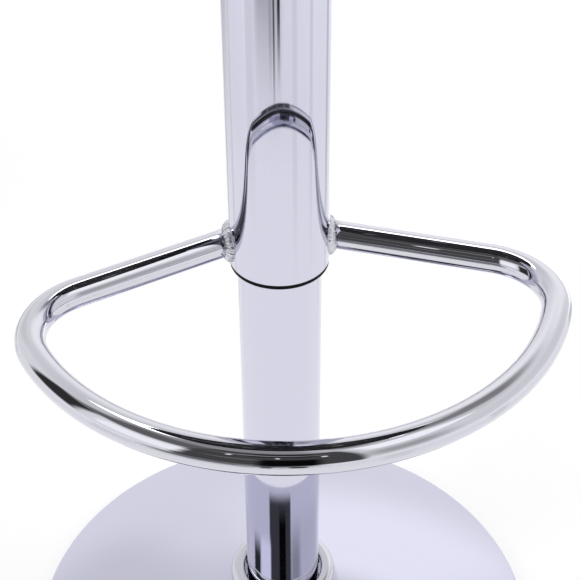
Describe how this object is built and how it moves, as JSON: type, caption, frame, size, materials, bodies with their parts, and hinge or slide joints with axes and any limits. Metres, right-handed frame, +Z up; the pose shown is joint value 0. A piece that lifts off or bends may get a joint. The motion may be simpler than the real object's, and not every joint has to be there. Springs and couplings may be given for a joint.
{
  "type": "adjustable swivel stool",
  "caption": "Bar stool with a round padded seat on a chromed gas-lift column that swivels and slides, a D-shaped footrest loop, a lift lever and a domed round base.",
  "frame": {"origin": "on the floor, on the column's axis, under the centre of the base", "axes": "+Z up along the column, -Y towards the front of the footrest, -X to the lever's side"},
  "size_m": [0.4, 0.4, 0.836],
  "materials": {
    "chrome": "mirror polish",
    "ballast": "rough, painted black",
    "steel": "zinc plated",
    "black_steel": "black powder coat",
    "brass": "turned",
    "black_nylon": "moulded",
    "rubber": "matt",
    "plywood": "birch plywood, stained black",
    "dust_fabric": "non-woven",
    "upholstery": "grained synthetic leather"
  },
  "bodies": {
    "base": {"floor_ring": "rubber", "base_weight": "ballast", "base_cover": "chrome", "base_collar": "chrome", "column_flange": "steel", "column_screws": "steel", "column_tube": "chrome", "column_floor": "steel", "column_bush": "black_nylon", "bearing_lower_race": "steel"},
    "spindle": {"piston_rod": "steel", "piston": "brass", "piston_seal": "rubber", "piston_nut": "steel", "bearing_upper_race": "steel", "bearing_balls": "steel", "bearing_cage": "brass", "rod_washer": "steel", "rod_clip": "steel", "bump_stop": "rubber"},
    "carriage": {"gas_cylinder": "black_steel", "rod_guide": "brass", "valve_block": "brass", "sleeve": "chrome", "sleeve_bush": "black_nylon", "sleeve_plug": "black_nylon", "footrest": "chrome", "footrest_welds": "chrome", "seat_hub": "black_steel", "seat_plate": "black_steel", "lever_bracket": "black_steel", "lever_pin": "steel", "seat_board": "plywood", "t_nuts": "steel", "bolt_washers": "steel", "seat_bolts": "steel", "dust_cover": "dust_fabric", "seat_cushion": "upholstery", "seat_welt": "upholstery"},
    "lever": {"lever_rod": "chrome", "lever_grip": "black_nylon"},
    "valve": {"valve_pin": "steel"}
  },
  "joints": [
    {"name": "swivel", "type": "hinge", "parent": "base", "child": "spindle", "pos_m": [0, 0, 0], "axis": [0, 0, 1], "continuous": true},
    {"name": "height", "type": "slide", "parent": "spindle", "child": "carriage", "axis": [0, 0, 1], "range_m": [-0.21, 0]},
    {"name": "lever_pull", "type": "hinge", "parent": "carriage", "child": "lever", "pos_m": [-0.028, 0, 0.749], "axis": [0, 1, 0], "range_deg": [0, 10], "stiffness_Nm_per_rad": 4, "springref_deg": -11.46},
    {"name": "valve_press", "type": "slide", "parent": "carriage", "child": "valve", "axis": [0, 0, -1], "range_m": [0, 0.005]}
  ],
  "couplings": [
    {"joint": "valve_press", "follows": "lever_pull", "m_per_rad": 0.028}
  ]
}
